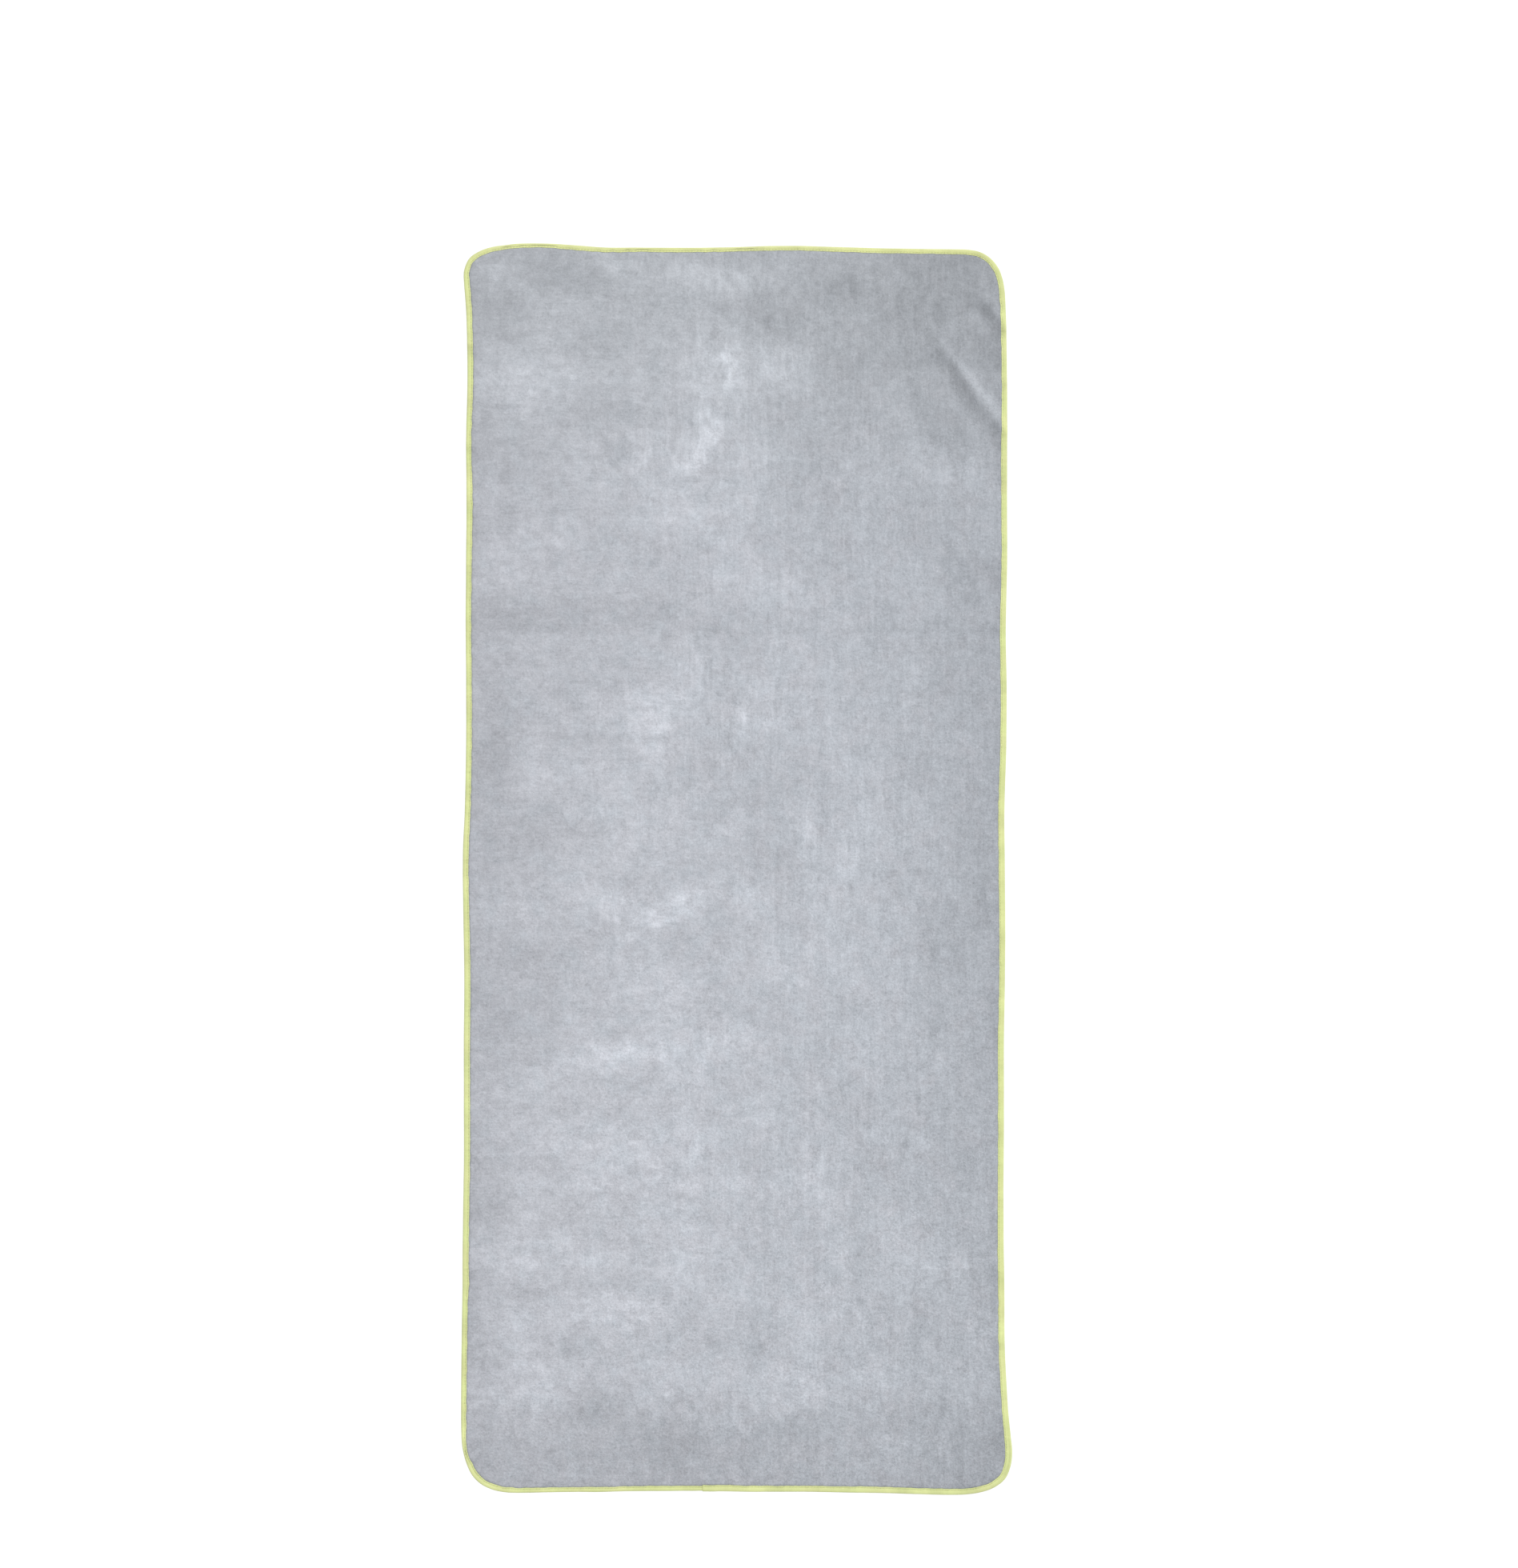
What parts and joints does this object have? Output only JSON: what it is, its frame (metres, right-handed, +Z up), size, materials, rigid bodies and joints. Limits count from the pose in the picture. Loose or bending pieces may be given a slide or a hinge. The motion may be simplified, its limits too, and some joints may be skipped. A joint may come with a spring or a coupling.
{
  "type": "quick dry towel",
  "caption": "Long rectangular microfibre velour towel with round corners and a folded tape binding held by one row of lockstitch, spread flat.",
  "frame": {"origin": "centre of the towel's plan, on the surface that it lies on", "axes": "+Z up, out of the upper face; +Y along the towel to the head edge; +X across it. The ends of the binding tape meet in the middle of the foot edge, at -Y"},
  "size_m": [0.6168, 1.4017, 0.003],
  "materials": {
    "panel_velour": "matte",
    "binding_tape": "matte",
    "sewing_thread": "satin",
    "label_satin": "satin"
  },
  "bodies": {
    "root": {"towel_panel": "panel_velour", "edge_binding": "binding_tape", "needle_thread": "sewing_thread", "bobbin_thread": "sewing_thread", "care_label": "label_satin"}
  },
  "joints": []
}
